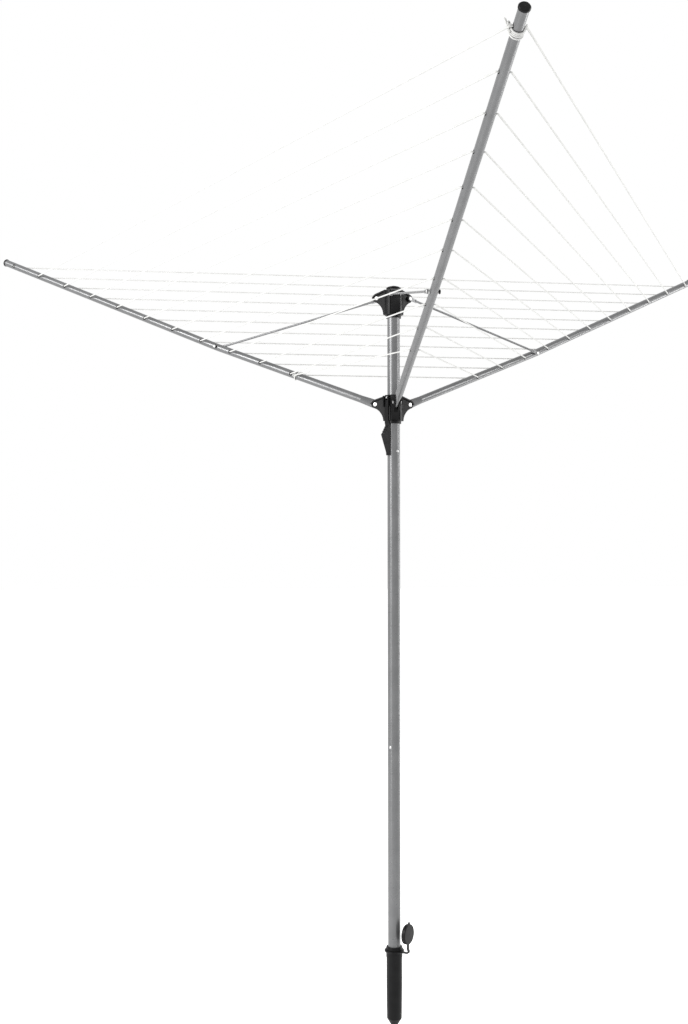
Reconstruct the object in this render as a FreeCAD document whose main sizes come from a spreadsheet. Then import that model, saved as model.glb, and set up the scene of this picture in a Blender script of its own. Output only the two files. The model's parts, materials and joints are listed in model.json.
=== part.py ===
import FreeCAD, Part

import math
import os

import Sketcher
from FreeCAD import Placement, Rotation, Vector

# Rotary clothesline: three arms that fold up round a two-part pole, which turns in a ground socket.
# Millimetres. The origin is on the pole's axis at ground level, +Z up. The front arm points along -Y.

DRIVING = {
    # pole
    "pole_diameter": (30.0, "outer diameter of both pole tubes"),
    "pole_wall": (1.2, "wall of the pole tubes"),
    "pole_foot": (-125.0, "height of the pole's lower end, inside the socket"),
    "pole_joint": (484.0, "height where the two pole tubes meet"),
    "pole_top": (1565.0, "height of the pole's upper end, inside the top hub"),
    "spigot_half": (60.0, "half length of the tube that joins the two pole tubes"),
    "dimple_height": (1193.0, "height of the pressed dimple in the upper tube"),
    # linkage
    "arm_pivot_height": (1307.5, "height of the arm pivots when the clothesline is open"),
    "arm_pivot_radius": (44.0, "distance of the arm pivots from the pole's axis"),
    "strut_pivot_height": (1563.0, "height of the strut pivots on the top hub"),
    "strut_pivot_radius": (40.0, "distance of the strut pivots from the pole's axis"),
    "arm_tilt": (21.0, "angle of an open arm above the horizontal, in degrees"),
    "arm_bow": (1.7, "further angle to which the line's pull bends an arm beyond its strut rivet"),
    "bow_radius": (300.0, "radius of that bend"),
    "hole_pitch": (91.0, "distance between line holes along an arm"),
    "first_hole": (240.0, "distance of the innermost line hole from the arm pivot"),
    "hole_count": (11.0, "line holes in each arm"),
    "strut_hole": (467.5, "distance of the strut rivet from the arm pivot"),
    "strut_offset": (13.3, "sideways distance of a strut from its arm's middle plane"),
    # arms
    "arm_diameter": (18.0, "outer diameter of an arm tube"),
    "arm_wall": (1.1, "wall of an arm tube"),
    "arm_length": (1183.0, "pivot to the tube's outer end"),
    "arm_end": (10.0, "tube beyond the pivot, towards the pole"),
    "flat_thickness": (8.4, "thickness of the flattened arm end"),
    "flat_height": (20.4, "height of the flattened arm end"),
    "flat_start": (14.0, "distance from the pivot where the flattened end begins to open out"),
    "round_start": (40.0, "distance from the pivot where the tube is round again"),
    "line_hole": (6.0, "diameter of a line hole"),
    "line_seat": (1.2, "how far the taut line is pulled towards the pole from a hole's middle"),
    "anchor_gap": (12.0, "distance of the line's anchor hole inside the innermost hole"),
    # struts and rivets
    "strut_diameter": (5.0, "diameter of a strut rod"),
    "strut_flat": (2.6, "thickness of a strut's flattened ends"),
    "strut_width": (10.0, "width of a strut's flattened ends"),
    "strut_rivet": (5.0, "shank diameter of the strut rivets"),
    "arm_rivet": (6.0, "shank diameter of the arm rivets"),
    # hubs
    "hub_bore": (30.2, "bore of the lower hub, which slides on the pole"),
    "hub_sleeve": (42.0, "outer diameter of a hub's sleeve"),
    "hub_collar": (36.0, "outer diameter of the plain ring under a hub"),
    "hub_bottom": (48.0, "depth of the lower hub under its pivots"),
    "hub_collar_depth": (7.0, "height of the plain ring"),
    "hub_top": (20.0, "height of the lower hub over its pivots"),
    "ear_thickness": (17.2, "thickness of a hub ear"),
    "ear_round": (10.0, "radius of an ear's end about its pivot"),
    "hood_width": (23.4, "width of the hood over a hub ear"),
    "fork_gap": (9.2, "gap between the two plates of a lower-hub ear"),
    "rib_radius": (1.6, "radius of the upright ribs on a hub's sleeve"),
    "lever_width": (13.0, "width of the lock lever"),
    "lever_pivot": (14.0, "height of the lever pin over the arm pivots"),
    # socket and its lid
    "socket_bore": (30.2, "bore of the socket's two bearing bands"),
    "socket_body": (37.2, "outer diameter of the socket under ground level"),
    "socket_straight": (70.0, "depth to which the socket stays cylindrical"),
    "socket_depth": (143.0, "depth of the socket to the start of its point"),
    "socket_point": (25.0, "height of the pointed end"),
    "collar_diameter": (38.8, "outer diameter of the collar above the ground"),
    "socket_top": (24.0, "height of the socket's mouth above the ground"),
    "ring_diameter": (46.6, "outer diameter of the ring that carries the lid"),
    "lid_diameter": (46.0, "outer diameter of the lid"),
    "lid_hinge_radius": (36.0, "distance of the lid's strap bend from the pole's axis"),
    "lid_hinge_height": (21.5, "height of the strap's bend"),
    "strap_width": (8.0, "width of the lid's strap"),
    "strap_thickness": (2.4, "thickness of the lid's strap"),
    # line
    "line_diameter": (3.0, "diameter of the washing line"),
    "line_bend": (6.0, "bend radius of the line beside a hole"),
}

ARMS = {"front": -90.0, "right": 30.0, "left": 150.0}   # direction of each arm about +Z, in degrees
LEVER_DIRECTION = 210.0
LID_DIRECTION = -40.0
KNOT_R = 2.8                                             # radius of the knot at the line's outer end

doc = FreeCAD.newDocument("RotaryClothesline")
sheet = doc.addObject("Spreadsheet::Sheet", "Dimensions")
for row, (alias, (value, note)) in enumerate(DRIVING.items(), start=1):
    sheet.set("A%d" % row, alias)
    sheet.set("B%d" % row, str(value))
    sheet.set("C%d" % row, note)
    sheet.setAlias("B%d" % row, alias)
doc.recompute()


class Size:
    """A length or angle that carries the spreadsheet expression it comes from."""

    def __init__(self, value, expression):
        self.value = value
        self.expression = expression

    def _join(self, other, sign, value):
        text = other.expression if isinstance(other, Size) else repr(float(other))
        return Size(value, "(%s %s %s)" % (self.expression, sign, text))

    def __add__(self, other):
        return self._join(other, "+", self.value + number(other))

    def __sub__(self, other):
        return self._join(other, "-", self.value - number(other))

    def __mul__(self, other):
        return self._join(other, "*", self.value * number(other))

    def __truediv__(self, other):
        return self._join(other, "/", self.value / number(other))

    def __neg__(self):
        return Size(-self.value, "(0 - %s)" % self.expression)


def number(size):
    return float(size.value if isinstance(size, Size) else size)


def dim(alias):
    """The driving dimension with this alias."""
    return Size(DRIVING[alias][0], "Dimensions." + alias)


def bind(obj, prop, size):
    """Sets a property from a Size, bound to the spreadsheet, or from a plain number."""
    if isinstance(size, Size):
        obj.setExpression(prop, size.expression)
    else:
        setattr(obj, prop, size)


POLE_R = dim("pole_diameter") / 2
ARM_R = dim("arm_diameter") / 2
LINE_R = number(dim("line_diameter")) / 2


# ---------------------------------------------------------------- PartDesign helpers

def new_body(label):
    body = doc.addObject("PartDesign::Body", "Body_" + label)
    body.Label = label
    return body


def new_sketch(body, plane, offset=0.0):
    """A sketch on one of the body's own origin planes, XY, XZ or YZ, moved along the plane's normal."""
    sketch = body.newObject("Sketcher::SketchObject", "Sketch_" + body.Label)
    flat = [f for f in body.Origin.OriginFeatures if f.Role == plane + "_Plane"][0]
    sketch.AttachmentSupport = [(flat, "")]
    sketch.MapMode = "FlatFace"
    if isinstance(offset, Size):
        sketch.setExpression("AttachmentOffset.Base.z", offset.expression)
    else:
        sketch.AttachmentOffset = Placement(Vector(0, 0, offset), Rotation())
    return sketch


def fix_point(sketch, geometry, end, point):
    """Ties one end of a sketch line to a point given as two sizes."""
    for kind, size in zip(("DistanceX", "DistanceY"), point):
        index = sketch.addConstraint(Sketcher.Constraint(kind, -1, 1, geometry, end, number(size)))
        if isinstance(size, Size):
            sketch.setExpression("Constraints[%d]" % index, size.expression)


def outline(sketch, points, arcs=None):
    """A closed outline through points. arcs maps the number of a side to the arc that replaces it: its
    radius and the side, "left" or "right" of the direction of travel, on which it bulges."""
    arcs = arcs or {}
    count = len(points)
    flat = [Vector(number(x), number(y), 0) for x, y in points]
    ends = []
    for side in range(count):
        a, b = flat[side], flat[(side + 1) % count]
        if side not in arcs:
            sketch.addGeometry(Part.LineSegment(a, b), False)
            ends.append((1, 2))
            continue
        radius, bulge = number(arcs[side][0]), arcs[side][1]
        along = (b - a).normalize()
        out = Vector(along.y, -along.x, 0) * (1 if bulge == "right" else -1)
        half = (b - a).Length / 2
        centre = (a + b) / 2 - out * math.sqrt(radius * radius - half * half)
        first, last = (a, b) if bulge == "right" else (b, a)
        low = math.atan2(first.y - centre.y, first.x - centre.x)
        high = math.atan2(last.y - centre.y, last.x - centre.x)
        whole = Part.Circle(centre, Vector(0, 0, 1), radius)
        sketch.addGeometry(Part.ArcOfCircle(whole, low, high), False)
        ends.append((1, 2) if bulge == "right" else (2, 1))
    for side in range(count):
        nxt = (side + 1) % count
        sketch.addConstraint(Sketcher.Constraint("Coincident", side, ends[side][1], nxt, ends[nxt][0]))
    for side in range(count):
        fix_point(sketch, side, ends[side][0], points[side])
        if side in arcs:
            radius = arcs[side][0]
            index = sketch.addConstraint(Sketcher.Constraint("Radius", side, number(radius)))
            if isinstance(radius, Size):
                sketch.setExpression("Constraints[%d]" % index, radius.expression)


def circle(sketch, radius, centre=(0.0, 0.0)):
    index = sketch.addGeometry(
        Part.Circle(Vector(number(centre[0]), number(centre[1]), 0), Vector(0, 0, 1), number(radius)), False)
    fix_point(sketch, index, 3, centre)
    constraint = sketch.addConstraint(Sketcher.Constraint("Radius", index, number(radius)))
    if isinstance(radius, Size):
        sketch.setExpression("Constraints[%d]" % constraint, radius.expression)


def revolve(body, points, arcs=None):
    """Turns a closed outline of (radius, height) points about the body's Z axis."""
    sketch = new_sketch(body, "XZ")
    outline(sketch, points, arcs)
    feature = body.newObject("PartDesign::Revolution", "Turned")
    feature.Profile = sketch
    feature.ReferenceAxis = (sketch, ["V_Axis"])
    feature.Angle = 360.0
    return feature


def pad(body, sketch, length, midplane=True, cut=False):
    """A pad, or a pocket where cut is true, on both sides of the sketch where midplane is true."""
    kind = "PartDesign::Pocket" if cut else "PartDesign::Pad"
    feature = body.newObject(kind, "Pocket" if cut else "Pad")
    feature.Profile = sketch
    feature.Midplane = midplane
    bind(feature, "Length", length)
    return feature


def rod(body, radius, length, place, cut=False):
    """A round bar, or a drilled hole where cut is true, centred on a placement along its own Z."""
    kind = "PartDesign::SubtractiveCylinder" if cut else "PartDesign::AdditiveCylinder"
    feature = body.newObject(kind, "Hole" if cut else "Bar")
    bind(feature, "Radius", radius)
    bind(feature, "Height", length)
    back = Placement(Vector(0, 0, -number(length) / 2), Rotation())
    feature.Placement = place.multiply(back)
    return feature


def block(body, size, low, cut=False):
    """A box, or a box-shaped pocket where cut is true, from its lowest corner."""
    kind = "PartDesign::SubtractiveBox" if cut else "PartDesign::AdditiveBox"
    feature = body.newObject(kind, "Slot" if cut else "Block")
    for prop, value in zip(("Length", "Width", "Height"), size):
        bind(feature, prop, value)
    feature.Placement = Placement(Vector(*[number(value) for value in low]), Rotation())
    return feature


def around(body, features, count=3):
    """Repeats features about the body's Z axis."""
    doc.recompute()
    pattern = body.newObject("PartDesign::PolarPattern", "Around")
    pattern.Originals = features
    pattern.Axis = ([f for f in body.Origin.OriginFeatures if f.Role == "Z_Axis"][0], [""])
    pattern.Angle = 360.0
    pattern.Occurrences = count
    body.Tip = pattern
    return pattern


ALONG_Y = Rotation(Vector(1, 0, 0), 90)
ALONG_X = Rotation(Vector(0, 1, 0), 90)


def gather(label, solids):
    """Several loose solids as one piece."""
    group = doc.addObject("Part::Compound", label)
    group.Links = solids
    group.Label = label


def lift(height):
    return Placement(Vector(0, 0, number(height)), Rotation())


def turned(degrees):
    return Placement(Vector(0, 0, 0), Rotation(Vector(0, 0, 1), degrees))


def polar(radius, direction, height):
    angle = math.radians(direction)
    return Vector(radius * math.cos(angle), radius * math.sin(angle), height)


def arm_frame(direction):
    """Frame of an open arm: X out along the arm from its pivot, Y to the left of that, Z up."""
    tilt = Rotation(Vector(0, 1, 0), -number(dim("arm_tilt")))
    pivot = Vector(number(dim("arm_pivot_radius")), 0, number(dim("arm_pivot_height")))
    return turned(direction).multiply(Placement(pivot, tilt))


def on_arm(along):
    """Place in an arm's own frame at a distance along it, which turns with the bend at the strut rivet."""
    rivet = number(dim("strut_hole"))
    if along <= rivet:
        return Placement(Vector(along, 0, 0), Rotation())
    bend = Placement(Vector(rivet, 0, 0), Rotation(Vector(0, 1, 0), -number(dim("arm_bow"))))
    return bend.multiply(Placement(Vector(along - rivet, 0, 0), Rotation()))


def strut_frame(direction):
    """Frame of a strut: X from its hub pivot to its arm rivet, Y to the left of that."""
    tilt = math.radians(number(dim("arm_tilt")))
    reach = number(dim("strut_hole"))
    end = Vector(number(dim("arm_pivot_radius")) + reach * math.cos(tilt), 0,
                 number(dim("arm_pivot_height")) + reach * math.sin(tilt))
    pivot = Vector(number(dim("strut_pivot_radius")), 0, number(dim("strut_pivot_height")))
    drop = math.degrees(math.atan2(pivot.z - end.z, end.x - pivot.x))
    frame = turned(direction).multiply(Placement(pivot, Rotation(Vector(0, 1, 0), drop)))
    return frame, (end - pivot).Length


# ---------------------------------------------------------------- ground socket and lid

def build_socket():
    """Ribbed plastic tube with a pointed foot, a collar and a bead that holds the lid's ring."""
    body = new_body("ground_socket")
    bore = dim("socket_bore") / 2
    relief = bore + 0.9
    outer = dim("socket_body") / 2
    collar = dim("collar_diameter") / 2
    depth = -dim("socket_depth")
    foot = dim("pole_foot")
    revolve(body, [
        (0, depth - dim("socket_point")), (2.0, depth - dim("socket_point")), (outer - 1.0, depth),
        (outer, -dim("socket_straight")), (outer, 0), (collar, 0), (collar, 17.2),
        (collar + 1.0, 17.9), (collar + 1.0, 19.2), (collar, 20.2), (collar - 0.8, dim("socket_top")),
        (bore + 1.0, dim("socket_top")), (bore, dim("socket_top") - 1.5), (bore, -9), (relief, -12),
        (relief, foot + 22), (bore, foot + 25), (bore, foot - 2.9), (0, foot - 2.9)])
    return body


def build_cap_ring():
    """Ring clipped round the socket's collar, with the fixed half of the lid's strap."""
    body = new_body("socket_cap_ring")
    inner = dim("collar_diameter") / 2 + 0.15
    outer = dim("ring_diameter") / 2
    revolve(body, [(inner, 11.6), (outer - 1.2, 11.6), (outer, 13.0), (outer, 15.4), (outer - 1.2, 16.8),
                   (inner, 16.8)])
    root = outer - 1.0
    reach = dim("lid_hinge_radius") - 2.5 - root
    block(body, (reach, dim("strap_width"), dim("strap_thickness")), (root, -(dim("strap_width") / 2), 12.2))
    body.Placement = turned(LID_DIRECTION)
    return body


def build_lid():
    """Round lid that stands open on its strap. It is drawn closed, face up, then turned upright."""
    body = new_body("socket_lid")
    outer = dim("lid_diameter") / 2
    inside = dim("collar_diameter") / 2 + 1.4
    seat = dim("socket_top") + 0.3
    skirt = 17.4
    revolve(body, [(0, seat), (inside, seat), (inside, skirt), (outer - 0.4, skirt), (outer, skirt + 1.0),
                   (outer, seat + 1.4), (outer - 1.6, seat + 2.6), (0, seat + 3.0)])
    root = outer - 1.0
    reach = dim("lid_hinge_radius") - 1.5 - root
    hinge_height = dim("lid_hinge_height")
    block(body, (reach, dim("strap_width"), dim("strap_thickness")),
          (root, -(dim("strap_width") / 2), hinge_height))
    tab = new_sketch(body, "XY", seat - 0.6)
    outline(tab, [(-outer + 1.0, 5.0), (-outer - 5.5, 1.8), (-outer - 5.5, -1.8), (-outer + 1.0, -5.0)])
    pad(body, tab, 3.0, midplane=False)
    hinge = Vector(number(dim("lid_hinge_radius")), 0, number(hinge_height))
    upright = Placement(hinge, Rotation(Vector(0, 1, 0), 90)).multiply(Placement(-hinge, Rotation()))
    body.Placement = turned(LID_DIRECTION).multiply(upright)
    return body


# ---------------------------------------------------------------- pole

def build_tube(label, radius, wall, low, high):
    body = new_body(label)
    revolve(body, [(radius - wall, low), (radius, low), (radius, high), (radius - wall, high)])
    return body


def radial_hole(body, direction, height, radius):
    """A hole through one wall of the pole, square to its axis."""
    wall = Placement(polar(number(POLE_R), direction, number(height)), Rotation())
    inward = turned(direction).Rotation.multiply(ALONG_X)
    return rod(body, radius, 8.0, Placement(wall.Base, inward), cut=True)


JOINT_RIVETS = ((-135.0, 8.0), (45.0, -14.0))    # direction, and height above the joint


def build_pole():
    wall = dim("pole_wall")
    lower = build_tube("pole_lower", POLE_R, wall, dim("pole_foot"), dim("pole_joint") - 0.1)
    radial_hole(lower, JOINT_RIVETS[1][0], dim("pole_joint") + JOINT_RIVETS[1][1], 2.05)

    upper = build_tube("pole_upper", POLE_R, wall, dim("pole_joint") + 0.1, dim("pole_top"))
    radial_hole(upper, JOINT_RIVETS[0][0], dim("pole_joint") + JOINT_RIVETS[0][1], 2.05)
    press_dimple(upper)

    spigot = build_tube("pole_spigot", POLE_R - wall - 0.05, 1.4,
                        dim("pole_joint") - dim("spigot_half"), dim("pole_joint") + dim("spigot_half"))
    rivets = []
    for direction, rise in JOINT_RIVETS:
        radial_hole(spigot, direction, dim("pole_joint") + rise, 2.05)
        rivet = new_body("pole_joint_rivet")
        head, rise_of_dome = 3.6, 1.5
        dome = (head ** 2 + rise_of_dome ** 2) / (2 * rise_of_dome)
        revolve(rivet, [(0, 11.8), (2.0, 11.8), (2.0, 15.1), (head, 15.1), (0, 15.1 + rise_of_dome)],
                {3: (dome, "right")})
        rivet.Placement = Placement(Vector(0, 0, number(dim("pole_joint")) + rise),
                                    turned(direction).Rotation.multiply(ALONG_X))
        rivets.append(rivet)
    gather("pole_joint_rivets", rivets)

    plug = new_body("pole_foot_plug")
    foot = dim("pole_foot")
    inside = POLE_R - wall - 0.05
    revolve(plug, [(0, foot - 2.6), (POLE_R - 1.4, foot - 2.6), (POLE_R - 0.4, foot - 1.6),
                   (POLE_R - 0.4, foot - 0.05), (inside, foot - 0.05), (inside, foot + 18),
                   (11.0, foot + 18), (11.0, foot + 2.4), (0, foot + 2.4)])


def press_dimple(body):
    """A shallow round dimple in the tube's wall."""
    feature = body.newObject("PartDesign::SubtractiveSphere", "Dimple")
    feature.Radius = 7.0
    feature.Placement = Placement(
        polar(number(POLE_R) + 6.1, -60.0, number(dim("dimple_height"))), Rotation())


# ---------------------------------------------------------------- hubs

def add_ear(body, pivot, top_inner, top_outer):
    """One ear along +X: its top slopes down and outwards, its end is round about the pivot, and its
    underside is hollowed down to the sleeve."""
    sketch = new_sketch(body, "XZ")
    tip = dim("ear_round")
    root = dim("hub_sleeve") / 2 - 3.5
    foot = -(dim("hub_bottom") - dim("hub_collar_depth"))
    outline(sketch, [
        (root, top_inner), (pivot, top_outer), (pivot + tip, 0), (pivot + tip * 0.6, -(tip * 0.8)),
        (root + 6.0, foot), (root, foot)],
        {1: (tip * 1.6, "left"), 2: (tip, "left"), 3: (36.0, "right")})
    return pad(body, sketch, dim("ear_thickness"))


def add_hood(body, pivot, top_inner, top_outer):
    """A band over the top and the end of the ear along +X, wider than the ear."""
    sketch = new_sketch(body, "XZ")
    root = dim("hub_sleeve") / 2 - 3.5
    tip = pivot + dim("ear_round")
    over, under = 1.8, 1.8
    bend = dim("ear_round") * 1.6
    outline(sketch, [
        (root, top_inner + over), (pivot - 1.0, top_outer + over), (tip + over, 0),
        (tip - under, 0), (pivot - 1.5, top_outer - under), (root, top_inner - under)],
        {1: (bend + over, "left"), 3: (bend - under, "right")})
    return pad(body, sketch, dim("hood_width"))


def add_ribs(body, low, height):
    """Two upright half-round ribs in each of the three spaces between ears."""
    ribs = []
    for side in (-27.0, 27.0):
        place = Placement(polar(number(dim("hub_sleeve")) / 2, 60.0 + side, low + height / 2), Rotation())
        ribs.append(rod(body, dim("rib_radius"), height, place))
    return around(body, ribs)


def build_top_hub():
    """Fixed hub at the top of the pole: a blind sleeve with three solid ears."""
    body = new_body("top_hub")
    sleeve = dim("hub_sleeve") / 2
    collar = dim("hub_collar") / 2
    bore = POLE_R + 0.05
    end = dim("pole_top") - dim("strut_pivot_height") + 0.3
    revolve(body, [(bore, -50.0), (collar, -50.0), (collar, -44.0), (sleeve, -43.0), (sleeve, 16.0),
                   (17.0, 20.0), (0, 20.0), (0, end), (bore, end)])
    around(body, [add_ear(body, dim("strut_pivot_radius"), 17.0, 9.5)])
    around(body, [add_hood(body, dim("strut_pivot_radius"), 17.0, 9.5)])
    boss = Placement(Vector(number(dim("strut_pivot_radius")), -10.0, 0), ALONG_Y)
    around(body, [rod(body, 6.5, 3.6, boss)])
    pivot = Placement(Vector(number(dim("strut_pivot_radius")), 0, 0), ALONG_Y)
    around(body, [rod(body, dim("strut_rivet") / 2 + 0.03, 60.0, pivot, cut=True)])
    add_ribs(body, -42.0, 56.0)
    body.Placement = lift(dim("strut_pivot_height")).multiply(turned(30.0))
    return body


def build_top_cap():
    """Low domed cap with a small raised knob, pressed over the top hub."""
    body = new_body("top_hub_cap")
    base = dim("strut_pivot_height") + 20.1
    revolve(body, [(0, base), (17.0, base), (17.6, base + 2.2), (11.0, base + 5.6), (5.5, base + 6.0),
                   (5.2, base + 7.2), (0, base + 7.4)], {2: (12.0, "right")})
    return body


def build_lower_hub():
    """Sliding hub: a bored sleeve with three forked ears, and an upright channel for the lock lever."""
    body = new_body("lower_hub")
    sleeve = dim("hub_sleeve") / 2
    collar = dim("hub_collar") / 2
    bore = dim("hub_bore") / 2
    bottom = -dim("hub_bottom")
    step = bottom + dim("hub_collar_depth")
    revolve(body, [(bore, bottom), (collar, bottom), (collar, step - 1.0), (sleeve, step),
                   (sleeve, dim("hub_top") - 4.0), (18.0, dim("hub_top")), (bore, dim("hub_top"))])
    around(body, [add_ear(body, dim("arm_pivot_radius"), 17.0, 9.5)])
    around(body, [add_hood(body, dim("arm_pivot_radius"), 17.0, 9.5)])
    gap = dim("fork_gap")
    slot = (40.0, gap, 90.0)
    around(body, [block(body, slot, (dim("arm_pivot_radius") - 15.0, -(gap / 2), -50.0), cut=True)])
    pivot = Placement(Vector(number(dim("arm_pivot_radius")), 0, 0), ALONG_Y)
    around(body, [rod(body, dim("arm_rivet") / 2 + 0.03, 40.0, pivot, cut=True)])
    add_ribs(body, -40.0, 54.0)
    width = dim("lever_width") + 0.8
    block(body, (20.0, width, 100.0), (-35.0, -(width / 2), -60.0), cut=True)
    for side in (-1, 1):
        cheek = (9.0, 3.4, 26.0)
        low = (-25.5, side * (number(width) / 2 + 1.7) - 1.7, -8.0)
        block(body, cheek, low)
    pin = Placement(Vector(-20.0, 0, number(dim("lever_pivot"))), ALONG_Y)
    rod(body, 1.53, 40.0, pin, cut=True)
    body.Placement = lift(dim("arm_pivot_height")).multiply(turned(30.0))
    return body


# ---------------------------------------------------------------- lock lever

def lever_place():
    """Frame of the lever: its pin is at this height, 20 mm out along X."""
    return lift(dim("arm_pivot_height") + dim("lever_pivot")).multiply(turned(LEVER_DIRECTION))


def build_lever():
    """Lock lever: a flat bar in the hub's channel, a stepped grip under the hub, and a hollowed shoe
    that its spring presses on the pole."""
    body = new_body("lock_lever")
    sketch = new_sketch(body, "XZ")
    inner = POLE_R + 0.6
    outline(sketch, [
        (inner, 0.0), (inner + 1.6, 6.0), (21.4, 6.0), (22.4, 3.0), (22.4, -62.0), (21.0, -66.0),
        (21.2, -68.5), (23.8, -70.5), (23.4, -73.0), (26.6, -75.5), (26.2, -78.0), (29.8, -81.0),
        (29.4, -83.5), (33.6, -88.5), (32.8, -91.5), (18.4, -131.0), (18.0, -138.0), (inner, -138.0),
        (inner, -102.0), (13.0, -100.0), (13.0, -76.0), (inner, -74.0)])
    pad(body, sketch, dim("lever_width"))
    rod(body, POLE_R + 0.1, 300.0, Placement(), cut=True)
    block(body, (20.0, 6.4, 13.0), (14.0, -3.2, -6.5), cut=True)
    rod(body, 1.55, 40.0, Placement(Vector(20.0, 0, 0), ALONG_Y), cut=True)
    body.Placement = lever_place()
    return body


def build_lever_pin():
    body = new_body("lever_pin")
    rod(body, 1.5, dim("lever_width") + 7.0, Placement(Vector(20.0, 0, 0), ALONG_Y))
    body.Placement = lever_place()
    return body


def build_lever_spring():
    """Torsion spring wound round the lever pin, in the lever's notch."""
    coil_radius, wire_radius, pitch, turns = 2.5, 0.4, 0.95, 5.0
    helix = Part.makeHelix(pitch, pitch * turns, coil_radius)
    start = Part.Wire([Part.Circle(Vector(coil_radius, 0, 0), Vector(0, 1, 0), wire_radius).toShape()])
    spring = doc.addObject("Part::Feature", "lever_spring")
    spring.Shape = Part.Wire(helix.Edges).makePipeShell([start], True, True)
    spring.Label = "lever_spring"
    centre = Placement(Vector(20.0, pitch * turns / 2, 0), ALONG_Y)
    spring.Placement = lever_place().multiply(centre)
    return spring


# ---------------------------------------------------------------- arms

def build_arm(name, direction):
    """Round tube, slightly bent at the strut rivet, with a flattened, drilled inner end and a row of
    line holes."""
    body = new_body("arm_" + name)
    for inset, cut in ((0.0, False), (dim("arm_wall"), True)):
        thick = dim("flat_thickness") / 2 - inset
        tall = dim("flat_height") / 2 - inset
        tube = new_sketch(body, "YZ", dim("round_start"))
        circle(tube, ARM_R - inset)
        kind = "PartDesign::SubtractivePipe" if cut else "PartDesign::AdditivePipe"
        round_part = body.newObject(kind, "Tube")
        round_part.Profile = tube
        round_part.Spine = (arm_path(body), ["Edge1", "Edge2", "Edge3"])
        end = new_sketch(body, "YZ", dim("flat_start"))
        ellipse(end, thick, tall)
        flat_part = pad(body, end, dim("flat_start") + dim("arm_end"), midplane=False, cut=cut)
        flat_part.Reversed = not cut
        kind = "PartDesign::SubtractiveLoft" if cut else "PartDesign::AdditiveLoft"
        blend = body.newObject(kind, "Blend")
        near = new_sketch(body, "YZ", dim("flat_start"))
        ellipse(near, thick, tall)
        far = new_sketch(body, "YZ", dim("round_start"))
        circle(far, ARM_R - inset)
        blend.Profile = near
        blend.Sections = [far]
    drill(body, 0.0, dim("arm_rivet") / 2 + 0.06)
    drill(body, dim("strut_hole"), dim("strut_rivet") / 2 + 0.03)
    if name == "left":
        drill(body, dim("first_hole") - dim("anchor_gap"), dim("line_hole") / 2)
    for along in line_holes():
        drill(body, along, dim("line_hole") / 2)
    body.Placement = arm_frame(direction)


def arm_path(body):
    """Middle line of an arm's round part, with its bend at the strut rivet."""
    rivet, radius = number(dim("strut_hole")), number(dim("bow_radius"))
    bow = math.radians(number(dim("arm_bow")))
    trim = radius * math.tan(bow / 2)
    outer = number(dim("arm_length")) - rivet
    start = (dim("round_start"), 0.0)
    first = (rivet - trim, 0.0)
    last = (rivet + trim * math.cos(bow), trim * math.sin(bow))
    end = (rivet + outer * math.cos(bow), outer * math.sin(bow))
    path = new_sketch(body, "XZ")
    a, b, c, d = [Vector(number(x), number(y), 0) for x, y in (start, first, last, end)]
    around_bend = Part.Circle(Vector(first[0], radius, 0), Vector(0, 0, 1), radius)
    path.addGeometry(Part.LineSegment(a, b), False)
    path.addGeometry(Part.ArcOfCircle(around_bend, -math.pi / 2, bow - math.pi / 2), False)
    path.addGeometry(Part.LineSegment(c, d), False)
    for side in (0, 1):
        path.addConstraint(Sketcher.Constraint("Coincident", side, 2, side + 1, 1))
    for side, point in enumerate((start, first, last)):
        fix_point(path, side, 1, point)
    fix_point(path, 2, 2, end)
    return path


def line_holes():
    """Distances of an arm's line holes from its pivot, innermost first."""
    return [number(dim("first_hole")) + ring * number(dim("hole_pitch"))
            for ring in range(int(number(dim("hole_count"))))]


def drill(body, along, radius):
    """A hole across an arm, along Y."""
    place = on_arm(number(along)).multiply(Placement(Vector(0, 0, 0), ALONG_Y))
    return rod(body, radius, 40.0, place, cut=True)


def ellipse(sketch, half_width, half_height):
    """An upright ellipse about the sketch's origin."""
    top = Vector(0, number(half_height), 0)
    side = Vector(number(half_width), 0, 0)
    sketch.addGeometry(Part.Ellipse(top, side, Vector(0, 0, 0)), False)


def build_arm_cap(name, direction):
    """Plastic cap pressed into the arm's outer end."""
    body = new_body("arm_cap_" + name)
    inside = ARM_R - dim("arm_wall") - 0.05
    revolve(body, [(0, -14.0), (inside - 0.8, -14.0), (inside, -12.5), (inside, 0.05), (ARM_R + 1.0, 0.05),
                   (ARM_R + 1.0, 3.0), (ARM_R - 0.4, 4.8), (0, 5.2)])
    end = on_arm(number(dim("arm_length"))).multiply(Placement(Vector(0, 0, 0), ALONG_X))
    body.Placement = arm_frame(direction).multiply(end)
    return body


def build_arm_rivet(name, direction):
    """Rivet that holds a strut to its arm, and the plastic washer under its head."""
    shank = dim("strut_rivet") / 2
    side = Placement(Vector(number(dim("strut_hole")), 0, 0), Rotation(Vector(1, 0, 0), -90))
    place = arm_frame(direction).multiply(side)
    rivet = new_body("strut_rivet_" + name)
    revolve(rivet, [(0, -10.6), (5.0, -10.6), (5.0, -9.2), (shank, -9.2), (shank, 13.25), (3.3, 13.25),
                    (3.3, 13.7), (0, 14.6)])
    rivet.Placement = place
    washer = new_body("strut_washer_" + name)
    hole = shank + 0.05
    revolve(washer, [(hole, 9.15), (3.4, 9.15), (3.4, 11.0), (4.8, 11.0), (4.8, 12.4), (4.2, 13.2),
                     (hole, 13.2)])
    washer.Placement = place


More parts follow.
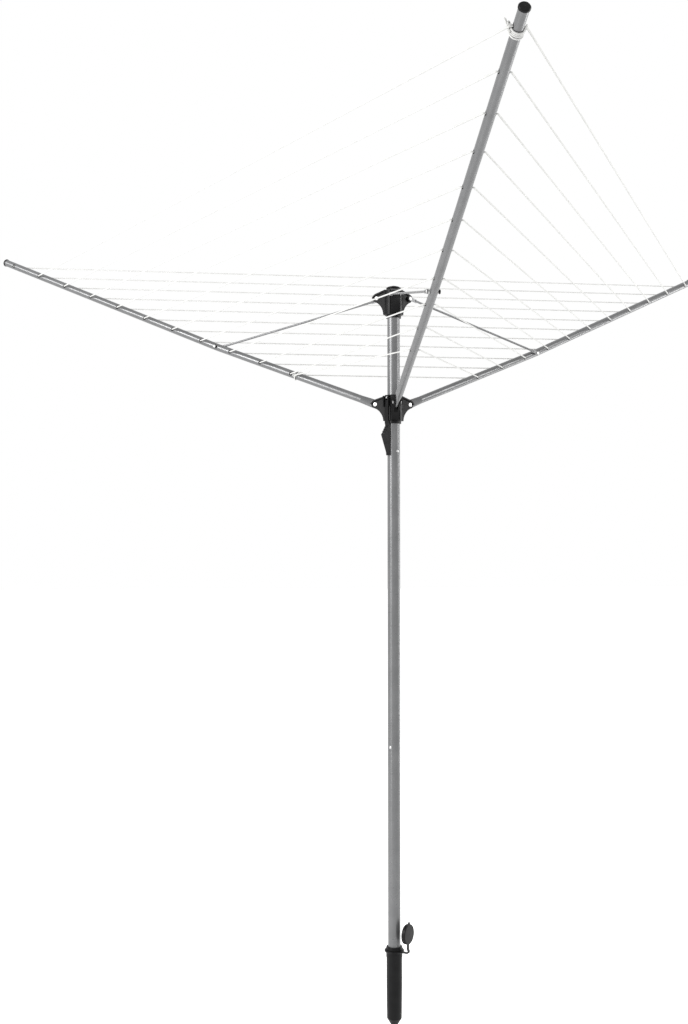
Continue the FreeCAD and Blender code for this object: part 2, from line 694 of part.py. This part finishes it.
def build_hub_pins():
    """The three rivets of each hub, as one piece each: they share a node and stay separate solids."""
    sets = (
        ("strut_hub_rivets", "strut_pivot_radius", "strut_pivot_height",
         [(0, -16.5), (3.4, -16.5), (4.4, -15.7), (4.4, -14.9), (2.5, -14.9), (2.5, 8.65), (4.8, 8.65),
          (4.8, 9.6), (3.6, 10.4), (0, 10.4)]),
        ("arm_hub_rivets", "arm_pivot_radius", "arm_pivot_height",
         [(0, -10.4), (4.0, -10.4), (5.2, -9.6), (5.2, -8.65), (3.0, -8.65), (3.0, 8.65), (5.2, 8.65),
          (5.2, 9.6), (4.0, 10.4), (0, 10.4)]),
    )
    for label, radius, height, profile in sets:
        solids = []
        for name, direction in ARMS.items():
            body = new_body("%s_%s" % (label, name))
            revolve(body, profile)
            pivot = Vector(number(dim(radius)), 0, number(dim(height)))
            frame = turned(direction).multiply(Placement(pivot, Rotation(Vector(1, 0, 0), -90)))
            body.Placement = frame
            solids.append(body)
        gather(label, solids)


def build_strut(name, direction):
    """Round rod with flattened, drilled ends, beside its arm's right-hand face."""
    frame, length = strut_frame(direction)
    body = new_body("strut_" + name)
    radius = dim("strut_diameter") / 2
    flat = 16.0
    core = new_sketch(body, "YZ", flat)
    circle(core, radius)
    pad(body, core, length - 2 * flat, midplane=False)
    half = dim("strut_width") / 2
    for at in (0.0, length):
        eye = Placement(Vector(at, 0, 0), ALONG_Y)
        rod(body, half, dim("strut_flat"), eye)
        low = (0.0 if at == 0 else length - flat - 6.0, -(dim("strut_flat") / 2), -half * 0.8)
        block(body, (flat + 6.0, dim("strut_flat"), half * 1.6), low)
    for at in (0.0, length):
        eye = Placement(Vector(at, 0, 0), ALONG_Y)
        rod(body, dim("strut_rivet") / 2 + 0.08, 40.0, eye, cut=True)
    aside = Placement(Vector(0, -number(dim("strut_offset")), 0), Rotation())
    body.Placement = frame.multiply(aside)

    head = new_body("strut_head_" + name)
    revolve(head, [(0, -16.3), (3.2, -16.3), (4.4, -15.5), (4.4, -14.65), (2.5, -14.65), (2.5, -11.95),
                   (4.6, -11.95), (4.6, -10.75), (0, -10.75)])
    end = Placement(Vector(length, 0, 0), Rotation(Vector(1, 0, 0), -90))
    head.Placement = frame.multiply(end)


# ---------------------------------------------------------------- washing line

def hole_point(direction, along, side=0.0):
    """A point of the line beside a hole: along is the hole's distance from the arm pivot, side is to the
    left. The taut line lies in the half of the hole that is nearer the pole."""
    place = arm_frame(direction).multiply(on_arm(along))
    return place.multVec(Vector(-number(dim("line_seat")), side, 0))


def line_route():
    """Corners of the line from its start knot, inwards to outwards round the three arms."""
    reach = number(ARM_R) + 0.06 + number(dim("line_bend")) * math.tan(math.radians(30))
    start = line_holes()[0] - number(dim("anchor_gap"))
    corners = [hole_point(ARMS["left"], start, -number(ARM_R) - 1.4),
               hole_point(ARMS["left"], start, reach)]
    for along in line_holes():
        for name in ("front", "right", "left"):
            for side in (-reach, reach):
                corners.append(hole_point(ARMS[name], along, side))
    knot = end_knot_place().Base
    corners.append(knot + (corners[-1] - knot).normalize() * (KNOT_R + 0.25))
    return corners


def end_knot_place():
    """Place of the knot at the line's outer end, on the upper right of the front arm's wraps."""
    wraps = arm_frame(ARMS["front"]).multiply(on_arm(line_holes()[-1]))
    return wraps.multiply(Placement(Vector(-9.1, -11.0, 7.0), Rotation()))


def rounded_wire(corners, radius):
    """Straight runs joined by tangent arcs of one radius."""
    edges = []
    here = corners[0]
    for before, corner, after in zip(corners, corners[1:], corners[2:]):
        back = (before - corner).normalize()
        on = (after - corner).normalize()
        half_turn = (math.pi - back.getAngle(on)) / 2
        trim = radius * math.tan(half_turn)
        middle = (back + on).normalize()
        first, last = corner + back * trim, corner + on * trim
        apex = corner + middle * (radius / math.cos(half_turn) - radius)
        edges.append(Part.LineSegment(here, first).toShape())
        edges.append(Part.Arc(first, apex, last).toShape())
        here = last
    edges.append(Part.LineSegment(here, corners[-1]).toShape())
    return Part.Wire(edges)


def build_line():
    """The washing line, one length of cord from the inner knot to the outer one."""
    corners = line_route()
    wire = rounded_wire(corners, number(dim("line_bend")))
    start = (corners[1] - corners[0]).normalize()
    section = Part.Wire([Part.Circle(corners[0], start, LINE_R).toShape()])
    solid = wire.makePipeShell([section], True, False)
    line = doc.addObject("Part::Feature", "washing_line")
    line.Shape = solid
    line.Label = "washing_line"
    expected = math.pi * LINE_R ** 2 * wire.Length
    print("line length %.0f mm, volume ratio %.4f" % (wire.Length, solid.Volume / expected))


def build_knots():
    """The stopper knot at the line's inner end, and the wraps and knot at its outer end."""
    start_along = number(dim("first_hole")) - number(dim("anchor_gap"))
    start = new_body("line_start_knot")
    face = -number(ARM_R) - 1.6
    revolve(start, [(0, face), (2.4, face), (3.8, face - 2.0), (3.6, face - 4.0), (2.0, face - 5.6),
                    (0, face - 5.6)])
    across = Placement(Vector(start_along, 0, 0), Rotation(Vector(1, 0, 0), -90))
    start.Placement = arm_frame(ARMS["left"]).multiply(across)

    frame = arm_frame(ARMS["front"]).multiply(on_arm(line_holes()[-1]))
    pieces = []
    for turn in range(3):
        wrap = doc.addObject("Part::Torus", "Wrap")
        wrap.setExpression("Radius1", (ARM_R + dim("line_diameter") / 2 + 0.05).expression)
        wrap.setExpression("Radius2", (dim("line_diameter") / 2).expression)
        at = Vector(-6.0 - turn * (number(dim("line_diameter")) + 0.1), 0, 0)
        wrap.Placement = frame.multiply(Placement(at, ALONG_X))
        pieces.append(wrap)
    lump = doc.addObject("Part::Sphere", "Lump")
    lump.Radius = KNOT_R
    lump.Placement = end_knot_place()
    pieces.append(lump)
    knot = doc.addObject("Part::MultiFuse", "line_end_knot")
    knot.Shapes = pieces
    knot.Label = "line_end_knot"


# ---------------------------------------------------------------- build, check and export

def main():
    build_socket()
    build_cap_ring()
    build_lid()
    build_pole()
    build_top_hub()
    build_top_cap()
    build_lower_hub()
    build_lever()
    build_lever_pin()
    build_lever_spring()
    build_hub_pins()
    for name, direction in ARMS.items():
        build_arm(name, direction)
        build_arm_cap(name, direction)
        build_arm_rivet(name, direction)
        build_strut(name, direction)
    build_line()
    build_knots()
    doc.recompute()

    failed = [o.Label for o in doc.Objects if "Invalid" in o.State or "Error" in o.State]
    if failed:
        raise SystemExit("failed objects: %s" % failed)
    inner = set()
    for obj in doc.Objects:
        if obj.isDerivedFrom("Part::Compound") or obj.isDerivedFrom("Part::MultiFuse"):
            inner.update(o.Name for o in (obj.Links if hasattr(obj, "Links") else obj.Shapes))
    os.makedirs("parts", exist_ok=True)
    kinds = ("PartDesign::Body", "Part::Compound", "Part::MultiFuse", "Part::Feature")
    for obj in doc.Objects:
        if obj.TypeId not in kinds or obj.Name in inner:
            continue
        if obj.Shape.isNull() or not obj.Shape.isValid():
            raise SystemExit("bad shape: %s" % obj.Label)
        obj.Shape.exportStep("parts/%s.step" % obj.Label)
        print("%-20s %2d solids %10.1f mm3" % (obj.Label, len(obj.Shape.Solids), obj.Shape.Volume))


main()
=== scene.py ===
import json
import math

import bpy
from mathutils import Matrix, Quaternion, Vector


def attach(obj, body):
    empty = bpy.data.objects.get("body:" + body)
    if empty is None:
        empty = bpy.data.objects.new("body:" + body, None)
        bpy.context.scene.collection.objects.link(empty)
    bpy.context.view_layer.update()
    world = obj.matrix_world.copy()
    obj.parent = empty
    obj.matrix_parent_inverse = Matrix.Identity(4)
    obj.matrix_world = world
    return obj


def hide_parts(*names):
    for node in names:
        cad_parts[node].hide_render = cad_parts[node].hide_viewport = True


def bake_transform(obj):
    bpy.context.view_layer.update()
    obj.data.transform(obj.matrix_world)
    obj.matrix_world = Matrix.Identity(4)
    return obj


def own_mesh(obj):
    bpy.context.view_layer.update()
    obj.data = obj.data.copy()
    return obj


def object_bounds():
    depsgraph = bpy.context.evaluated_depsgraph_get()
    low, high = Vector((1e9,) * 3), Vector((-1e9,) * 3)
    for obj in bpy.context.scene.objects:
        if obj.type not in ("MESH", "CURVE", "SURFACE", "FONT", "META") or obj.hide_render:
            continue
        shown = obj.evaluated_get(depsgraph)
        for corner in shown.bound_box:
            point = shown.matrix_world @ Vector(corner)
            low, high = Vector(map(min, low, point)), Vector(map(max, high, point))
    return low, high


# Rotary clothesline. Metres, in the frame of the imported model: +Z up, the front arm along -Y.

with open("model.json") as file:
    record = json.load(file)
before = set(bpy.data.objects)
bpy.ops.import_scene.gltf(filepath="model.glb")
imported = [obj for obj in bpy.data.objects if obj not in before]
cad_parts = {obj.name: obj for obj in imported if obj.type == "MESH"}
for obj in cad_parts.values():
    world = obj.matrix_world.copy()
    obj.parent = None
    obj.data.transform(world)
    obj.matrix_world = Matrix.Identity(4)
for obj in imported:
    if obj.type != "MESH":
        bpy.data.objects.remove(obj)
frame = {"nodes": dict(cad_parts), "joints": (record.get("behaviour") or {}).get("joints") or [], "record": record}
cad_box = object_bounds()

JOINTS = {joint["name"]: joint for joint in frame["joints"]}
ARMS = ("front", "right", "left")           # each one's line goes on to the next
TILT = math.radians(21.0)                   # an open arm above the horizontal
BOW = math.radians(1.7)                     # its further bend beyond the strut rivet
RIVET_AT = 0.4675                           # distance of the strut rivet from the arm's pivot
FIRST_HOLE, HOLE_PITCH, HOLE_COUNT = 0.240, 0.091, 11
ANCHOR_GAP = 0.012                          # the line's anchor hole, inside the innermost hole
LINE_SEAT = 0.0012                          # how far inside a hole's middle the line lies
LINE_R = 0.0015
LINE_BEND = 0.006                           # radius of the line's bend beside an arm
LINE_EASE = 0.004                           # length over which that bend runs out
ARM_R = 0.009
HOLE_R, HOLE_SHADOW_RIM = 0.00295, 0.0014          # radius of the painted shade inside a line hole, and the width of the painted shadow rim round it
HOLE_SHADE_DEPTH, RIM_PROUD = 0.0030, 0.00006     # depth of that painted shade, and how far its painted shadow rim stands out
SLACK = 0.60                                # drop of a folded half span, as a share of its length
DIMPLE_TURN, DIMPLE_HEIGHT = math.radians(-60), 1.193
STRAP_SIZE = (0.0040, 0.0011)               # half the lid strap's width, half its thickness
FLOOR_GAP = 0.004                           # the floor lies this far under the socket's point


# ---------------------------------------------------------------- places on the arms

def arm_axes(name, along):
    """A point on an open arm's middle line, and its directions there: out along the arm, to its left,
    and up. The line's pull bends an arm upwards beyond its strut rivet."""
    pivot = Vector(JOINTS["arm_fold_" + name]["pos_m"])
    level = Vector((pivot.x, pivot.y, 0)).normalized()
    left = Vector((-level.y, level.x, 0))
    tilts = (TILT, TILT + BOW)
    inner, outer = [level * math.cos(tilt) + Vector((0, 0, math.sin(tilt))) for tilt in tilts]
    out = inner if along <= RIVET_AT else outer
    middle = pivot + inner * min(along, RIVET_AT) + outer * max(along - RIVET_AT, 0)
    return middle, out, left, out.cross(left)


def on_arm(name, along, side=0.0, up=0.0, out=0.0):
    """A point near an arm: its distance along the arm, then steps to its left, up and outwards."""
    middle, outwards, left, upwards = arm_axes(name, along)
    return middle + outwards * out + left * side + upwards * up


def hole(ring):
    """Distance of a line hole from the arm's pivot; ring 0 is the innermost."""
    return FIRST_HOLE + ring * HOLE_PITCH


# ---------------------------------------------------------------- materials

def new_material(name):
    """An empty node material: the nodes, the links, and its shader."""
    material = bpy.data.materials.new(name)
    material.use_nodes = True
    tree = material.node_tree
    return material, tree, tree.nodes["Principled BSDF"]


def add_noise(tree, scale, detail=3.0, rough=0.5):
    """Noise over the object's own coordinates, at so many waves a metre."""
    place = tree.nodes.new("ShaderNodeTexCoord")
    noise = tree.nodes.new("ShaderNodeTexNoise")
    noise.inputs["Scale"].default_value = scale
    noise.inputs["Detail"].default_value = detail
    noise.inputs["Roughness"].default_value = rough
    tree.links.new(place.outputs["Object"], noise.inputs["Vector"])
    return noise.outputs["Fac"]


def add_ramp(tree, source, low, high, start=0.35, end=0.65):
    """Maps a value to a colour between two, or to a grey where low and high are numbers."""
    ramp = tree.nodes.new("ShaderNodeValToRGB")
    for element, at, value in zip(ramp.color_ramp.elements, (start, end), (low, high)):
        element.position = at
        element.color = (*value, 1) if hasattr(value, "__len__") else (value, value, value, 1)
    tree.links.new(source, ramp.inputs["Fac"])
    return ramp.outputs["Color"]


def add_bump(tree, shader, source, height, strength):
    """Raises the surface by up to height metres where the source is 1."""
    bump = tree.nodes.new("ShaderNodeBump")
    bump.inputs["Distance"].default_value = height
    bump.inputs["Strength"].default_value = strength
    tree.links.new(source, bump.inputs["Height"])
    tree.links.new(bump.outputs["Normal"], shader.inputs["Normal"])


def grey_tube():
    """Silver-grey powder coat: fine orange peel, slight clouding."""
    material, tree, shader = new_material("powder_coat")
    cloud = add_noise(tree, 26.0, 4.0)
    tree.links.new(add_ramp(tree, cloud, (0.100, 0.101, 0.103), (0.116, 0.117, 0.119)),
                   shader.inputs["Base Color"])
    tree.links.new(add_ramp(tree, add_noise(tree, 60.0), 0.26, 0.33), shader.inputs["Roughness"])
    shader.inputs["Metallic"].default_value = 0.30
    shader.inputs["Specular IOR Level"].default_value = 0.6
    add_bump(tree, shader, add_noise(tree, 900.0, 2.0), 0.00002, 0.15)
    return material


def black_plastic():
    """Moulded black plastic: fine grain, soft sheen."""
    material, tree, shader = new_material("moulded_black")
    cloud = add_noise(tree, 45.0, 3.0)
    tree.links.new(add_ramp(tree, cloud, (0.0020, 0.0020, 0.0022), (0.0045, 0.0045, 0.0048)),
                   shader.inputs["Base Color"])
    tree.links.new(add_ramp(tree, add_noise(tree, 120.0), 0.33, 0.43), shader.inputs["Roughness"])
    shader.inputs["Specular IOR Level"].default_value = 0.13
    add_bump(tree, shader, add_noise(tree, 1600.0, 2.0), 0.00003, 0.3)
    return material


def zinc_steel():
    """Bright zinc-plated steel."""
    material, tree, shader = new_material("zinc_steel")
    cloud = add_noise(tree, 160.0, 3.0)
    tree.links.new(add_ramp(tree, cloud, (0.40, 0.40, 0.40), (0.52, 0.52, 0.515)),
                   shader.inputs["Base Color"])
    tree.links.new(add_ramp(tree, add_noise(tree, 420.0), 0.30, 0.42), shader.inputs["Roughness"])
    shader.inputs["Metallic"].default_value = 1.0
    add_bump(tree, shader, add_noise(tree, 2400.0, 2.0), 0.00002, 0.4)
    return material


def line_skin():
    """White PVC skin of the washing line, faintly uneven from the cord under it."""
    material, tree, shader = new_material("line_skin")
    cloud = add_noise(tree, 70.0, 3.0)
    tree.links.new(add_ramp(tree, cloud, (0.42, 0.42, 0.41), (0.48, 0.48, 0.47)),
                   shader.inputs["Base Color"])
    shader.inputs["Roughness"].default_value = 0.55
    shader.inputs["Specular IOR Level"].default_value = 0.2
    add_bump(tree, shader, add_noise(tree, 1100.0, 1.0), 0.00006, 0.5)
    return material


def painted_hole_shade():
    """Painted shade for a line hole: a near-black matte finish for its inside and for the painted shadow rim round
    it.
    """
    material, tree, shader = new_material("painted_hole_shade")
    cloud = add_noise(tree, 300.0, 2.0)
    tree.links.new(add_ramp(tree, cloud, (0.002, 0.002, 0.002), (0.006, 0.006, 0.006)),
                   shader.inputs["Base Color"])
    shader.inputs["Roughness"].default_value = 0.8
    shader.inputs["Specular IOR Level"].default_value = 0.05
    return material


def floor_paint():
    """Plain white floor that keeps no shadow."""
    material, tree, shader = new_material("white_floor")
    shader.inputs["Base Color"].default_value = (0.93, 0.93, 0.93, 1)
    shader.inputs["Roughness"].default_value = 0.9
    shader.inputs["Specular IOR Level"].default_value = 0.1
    shader.inputs["Emission Color"].default_value = (1, 1, 1, 1)
    shader.inputs["Emission Strength"].default_value = 0.30
    return material


FINISH = {
    "grey_tube": grey_tube(),
    "black_plastic": black_plastic(),
    "steel": zinc_steel(),
    "line": line_skin(),
    # painted shade: the near-black finish put inside and round the line holes
    "inside": painted_hole_shade(),
}


MOULDED_EDGE = 0.0007       # rounding of the moulded parts' edges


def round_edges(node):
    """Rounds a moulded part's edges."""
    bevel = node.modifiers.new("rounded_edges", "BEVEL")
    bevel.width = MOULDED_EDGE
    bevel.segments = 2
    bevel.limit_method = "ANGLE"
    bevel.angle_limit = math.radians(35)
    bevel.harden_normals = True


def finish_cad():
    """Gives every CAD node the finish of its material slot."""
    for part in frame["record"]["subparts"]:
        node = frame["nodes"][part["node"]]
        node.data.materials.clear()
        node.data.materials.append(FINISH[part["material_slot"]])
        if part["material_slot"] == "black_plastic":
            round_edges(node)


# ---------------------------------------------------------------- line pieces

def cord_piece(name, points, radius=LINE_R):
    """A round cord along one smooth curve near its points, as a mesh."""
    curve = bpy.data.curves.new(name, "CURVE")
    curve.dimensions = "3D"
    curve.bevel_depth = radius
    curve.bevel_resolution = 3
    curve.resolution_u = 6
    curve.use_fill_caps = True
    spline = curve.splines.new("NURBS")
    spline.points.add(len(points) - 1)
    for place, point in zip(spline.points, points):
        place.co = (*point, 1)
    spline.order_u = 3
    spline.use_endpoint_u = True
    draft = bpy.data.objects.new(name + "_curve", curve)
    mesh = bpy.data.meshes.new_from_object(draft)
    bpy.data.objects.remove(draft)
    mesh.name = name
    for polygon in mesh.polygons:
        polygon.use_smooth = True
    piece = bpy.data.objects.new(name, mesh)
    bpy.context.scene.collection.objects.link(piece)
    mesh.materials.clear()
    mesh.materials.append(FINISH["line"])
    return piece


def fold_turn(name):
    """The turn that brings an arm from rest to its folded pose, and the drop of its pivot."""
    joint = JOINTS["arm_fold_" + name]
    slide = JOINTS["hub_slide"]["range_m"][0]
    ratios = {pair["joint"]: pair["ratio"] for pair in frame["record"]["behaviour"]["couplings"]}
    return Quaternion(Vector(joint["axis"]), ratios[joint["name"]] * slide), slide


def folded(name, point):
    """Where a point on an arm is once the arms are folded."""
    turn, drop = fold_turn(name)
    pivot = Vector(JOINTS["arm_fold_" + name]["pos_m"])
    return pivot + turn @ (point - pivot) + Vector((0, 0, drop))


def hang(piece):
    """Gives a half span a mesh of its own."""
    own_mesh(piece)


def mesh_piece(name, vertices, faces, finish, smooth=True):
    """A mesh with one finish."""
    mesh = bpy.data.meshes.new(name)
    mesh.from_pydata(vertices, [], faces)
    for polygon in mesh.polygons:
        polygon.use_smooth = smooth
    mesh.materials.append(FINISH[finish])
    piece = bpy.data.objects.new(name, mesh)
    bpy.context.scene.collection.objects.link(piece)
    return piece


def ring_faces(rings, sides, first=0):
    """Faces between rings of vertices, one ring after another."""
    faces = []
    for ring in range(rings - 1):
        low = first + ring * sides
        for step in range(sides):
            beside = (step + 1) % sides
            faces.append((low + step, low + beside, low + sides + beside, low + sides + step))
    return faces


def hole_shade_piece(name, label, along, face, sides=28):
    """Painted shade inside a line hole and a painted shadow rim round it, on an arm's left face, 1, or its right
    face, -1.
    """
    vertices = []
    for radius, depth in ((HOLE_R, -HOLE_SHADE_DEPTH), (HOLE_R, RIM_PROUD), (HOLE_R + HOLE_SHADOW_RIM, RIM_PROUD)):
        for step in range(sides):
            angle = step * 2 * math.pi / sides
            up, out = radius * math.sin(angle), radius * math.cos(angle)
            skin = math.sqrt(ARM_R ** 2 - up ** 2)
            vertices.append(on_arm(name, along, face * (skin + depth), up, out))
    side = "left" if face > 0 else "right"
    return mesh_piece("hole_%s_%s_%s" % (name, label, side), vertices, ring_faces(3, sides),
                      "inside")


def through_arm(name, label, along):
    """The short length of line that passes through an arm, and the painted shade inside and round its hole."""
    reach = ARM_R + LINE_R
    ends = [on_arm(name, along, side, out=-LINE_SEAT) for side in (-reach, reach)]
    pieces = [cord_piece("line_hole_%s_%s" % (name, label), ends)]
    # painted shade inside and round the hole, on both faces of the arm
    pieces += [hole_shade_piece(name, label, along, face) for face in (-1, 1)]
    for piece in pieces:
        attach(piece, "arm_" + name)


def span(number, name, along, next_name, next_along):
    """The line from one arm's left side to the next arm's right side, as two halves, each attached to its arm.
    Returns the halves."""
    exit_side = ARM_R + LINE_R
    corner_side = ARM_R + LINE_BEND * math.tan(math.radians(30))
    start = on_arm(name, along, exit_side, out=-LINE_SEAT)
    corner = on_arm(name, along, corner_side, out=-LINE_SEAT)
    next_corner = on_arm(next_name, next_along, -corner_side, out=-LINE_SEAT)
    end = on_arm(next_name, next_along, -exit_side, out=-LINE_SEAT)
    share = fold_share(name, start, next_name, end)
    middle = corner.lerp(next_corner, share)
    halves = []
    for half, arm, anchor, bend in (("a", name, start, corner), ("b", next_name, end, next_corner)):
        beside = bend + (middle - bend).normalized() * LINE_EASE
        piece = cord_piece("line_span_%02d%s" % (number, half), [anchor, bend, beside, middle])
        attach(piece, "arm_" + arm)
        hang(piece)
        halves.append(piece)
    return halves


def fold_share(name, start, next_name, end):
    """Where to part a span so that both halves, folded, hang down to the same height."""
    high = folded(name, start).z
    next_high = folded(next_name, end).z
    length = (end - start).length
    return 0.5 + (high - next_high) / (2 * SLACK * length)


def washing_line():
    """The washing line: from the left arm's anchor hole, round and round, to its outermost hole."""
    route = [("left", FIRST_HOLE - ANCHOR_GAP, "anchor")]
    for ring in range(HOLE_COUNT):
        route += [(name, hole(ring), "%02d" % ring) for name in ARMS]
    for name, along, label in route:
        through_arm(name, label, along)
    halves = []
    for number, (here, there) in enumerate(zip(route, route[1:]), start=1):
        halves += span(number, here[0], here[1], there[0], there[1])
    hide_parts("washing_line")


# ---------------------------------------------------------------- knots, stud and strap

def around_arm(name, along, turns, pitch, start=0.0, steps=14):
    """Points of a cord wound round an arm, each turn one pitch further in. The angle runs from the
    arm's left side over its top."""
    radius = ARM_R + LINE_R * 1.1
    angles = [start + step * 2 * math.pi / steps for step in range(round(turns * steps) + 1)]
    return [on_arm(name, along - pitch * (angle - start) / (2 * math.pi),
                   side=radius * math.cos(angle), up=radius * math.sin(angle)) for angle in angles]


def overhand(name, along, side, up, size):
    """Points of a loose overhand knot beside an arm."""
    points = []
    for step in range(34):
        t = math.radians(step * 10 + 15)
        points.append(on_arm(name, along + size * (math.cos(t) - 2 * math.cos(2 * t)),
                             side=side + size * math.sin(3 * t),
                             up=up + size * (math.sin(t) + 2 * math.sin(2 * t))))
    return points


def start_knot():
    """The line's inner end: a turn round the left arm and a knot on the arm's left side, at the anchor
    hole, with its tail along the top of the arm."""
    at = FIRST_HOLE - ANCHOR_GAP
    tail = [on_arm("left", at - 0.0080, side=0.0070, up=0.0105),
            on_arm("left", at - 0.0140, side=0.0020, up=0.0118),
            on_arm("left", at - 0.0230, side=-0.0010, up=0.0108)]
    pieces = [
        cord_piece("start_turn", around_arm("left", at + 0.0012, 1.0, 0.0030)),
        cord_piece("start_knot", overhand("left", at - 0.0015, 0.0128, 0.0010, 0.0015) + tail),
    ]
    for piece in pieces:
        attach(piece, "arm_left")
    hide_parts("line_start_knot")


def end_knot():
    """The line's outer end: turns round the front arm just inside its last hole, a loose loop on the
    arm's left side, and a tangled knot on its right."""
    at = hole(HOLE_COUNT - 1)
    loop = []
    for step in range(15):
        t = math.radians(step * 24 - 150)
        loop.append(on_arm("front", at - 0.0065 + 0.0060 * math.sin(t),
                           side=0.0120 + 0.0030 * math.cos(t),
                           up=0.0010 + 0.0060 * math.cos(t)))
    tail = [on_arm("front", at - 0.0050, side=-0.0160, up=0.0080),
            on_arm("front", at + 0.0010, side=-0.0190, up=0.0100),
            on_arm("front", at + 0.0050, side=-0.0215, up=0.0085)]
    pieces = [
        cord_piece("end_turns", around_arm("front", at - 0.0045, 3.0, 0.0032, start=math.pi)),
        cord_piece("end_slant", around_arm("front", at - 0.0140, 1.0, 0.0040, start=math.pi / 2)),
        cord_piece("end_loop", loop, radius=0.0012),
        cord_piece("end_knot", overhand("front", at - 0.0045, -0.0135, 0.0045, 0.0018) + tail),
        cord_piece("end_tangle", overhand("front", at - 0.0090, -0.0125, -0.0010, 0.0013)),
    ]
    for piece in pieces:
        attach(piece, "arm_front")
    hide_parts("line_end_knot")


def dimple_stud():
    """A low steel stud set in the upper tube's dimple."""
    radius, rise = 0.0030, 0.0011
    out = Vector((math.cos(DIMPLE_TURN), math.sin(DIMPLE_TURN), 0))
    across = Vector((-out.y, out.x, 0))
    root = out * 0.01495 + Vector((0, 0, DIMPLE_HEIGHT))
    rings, sides = 6, 20
    vertices = [root + out * rise]
    for ring in range(1, rings + 1):
        share = ring / rings * math.pi / 2
        for step in range(sides):
            angle = step * 2 * math.pi / sides
            around = across * math.cos(angle) + Vector((0, 0, math.sin(angle)))
            vertices.append(root + out * rise * math.cos(share) + around * radius * math.sin(share))
    faces = [(0, 1 + step, 1 + (step + 1) % sides) for step in range(sides)]
    piece = mesh_piece("dimple_stud", vertices, faces + ring_faces(rings, sides, 1), "steel")
    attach(piece, "mast")


def lid_strap():
    """The strap between the socket's ring and its lid: it leaves the ring level and bends up to the
    open lid."""
    pivot = Vector(JOINTS["lid_bend"]["pos_m"])
    outwards = Vector((pivot.x, pivot.y, 0)).normalized()
    across = Vector((-outwards.y, outwards.x, 0))
    path = [(-0.0060, -0.0081), (-0.0025, -0.0081), (0.0002, -0.0080), (0.0020, -0.0072),
            (0.0030, -0.0056), (0.0032, -0.0036), (0.0026, -0.0016), (0.0016, 0.0000),
            (0.0010, 0.0020), (0.0010, 0.0060)]
    places = [pivot + outwards * out + Vector((0, 0, up)) for out, up in path]
    vertices = []
    for number, place in enumerate(places):
        run = (places[min(number + 1, len(places) - 1)] - places[max(number - 1, 0)]).normalized()
        away = run.cross(across) * STRAP_SIZE[1]
        wide = across * STRAP_SIZE[0]
        vertices += [place - wide - away, place + wide - away, place + wide + away, place - wide + away]
    last = len(vertices) - 4
    faces = ring_faces(len(places), 4) + [(3, 2, 1, 0), (last, last + 1, last + 2, last + 3)]
    piece = mesh_piece("lid_strap", vertices, faces, "black_plastic", smooth=False)
    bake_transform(piece)


# ---------------------------------------------------------------- studio

def soft_light(name, place, aim, size, power):
    """A soft box with its width and height, turned towards its aim."""
    light = bpy.data.lights.new(name, "AREA")
    light.shape = "RECTANGLE"
    light.size, light.size_y = size
    light.energy = power
    lamp = bpy.data.objects.new(name, light)
    lamp.location = place
    lamp.rotation_mode = "QUATERNION"
    lamp.rotation_quaternion = (Vector(aim) - Vector(place)).to_track_quat("-Z", "Y")
    bpy.context.scene.collection.objects.link(lamp)


def studio():
    """A white room, with narrow soft boxes on the left and on the right."""
    bpy.ops.mesh.primitive_plane_add(size=60, location=(0, 0, cad_box[0].z - FLOOR_GAP))
    floor = bpy.context.object
    floor.name = "floor"
    floor.data.materials.append(floor_paint())
    world = bpy.data.worlds.new("studio")
    bpy.context.scene.world = world
    world.use_nodes = True
    world.node_tree.nodes["Background"].inputs["Color"].default_value = (1, 1, 1, 1)
    world.node_tree.nodes["Background"].inputs["Strength"].default_value = 1.0
    soft_light("left_box", (-2.65, -1.40, 1.95), (0, 0, 1.4), (0.55, 1.6), 60)
    soft_light("left_high", (-2.65, -0.50, 2.30), (-0.8, 0.4, 1.6), (1.3, 0.45), 36)
    soft_light("left_fill", (-2.65, -1.40, 0.40), (0, 0, 0.6), (0.55, 1.5), 14)
    soft_light("right_box", (2.85, -0.85, 2.20), (0, 0, 1.4), (0.55, 1.4), 30)
    soft_light("right_rim", (3.0, 1.0, 1.1), (0, 0, 0.9), (0.6, 3.0), 42)
    bpy.context.scene.view_settings.view_transform = "Standard"


def camera():
    """The camera, a little to the left of the front arm and below the hubs."""
    data = bpy.data.cameras.new("camera")
    data.sensor_width = 36.0
    data.lens = 42.205
    data.clip_end = 100.0
    eye = bpy.data.objects.new("camera", data)
    eye.location = (-0.4806, -2.8242, 0.9632)
    eye.rotation_euler = (math.pi / 2 + 0.0298, 0.0, -0.1271)
    bpy.context.scene.collection.objects.link(eye)
    bpy.context.scene.camera = eye


camera()
studio()
finish_cad()
washing_line()
start_knot()
end_knot()
lid_strap()
dimple_stud()
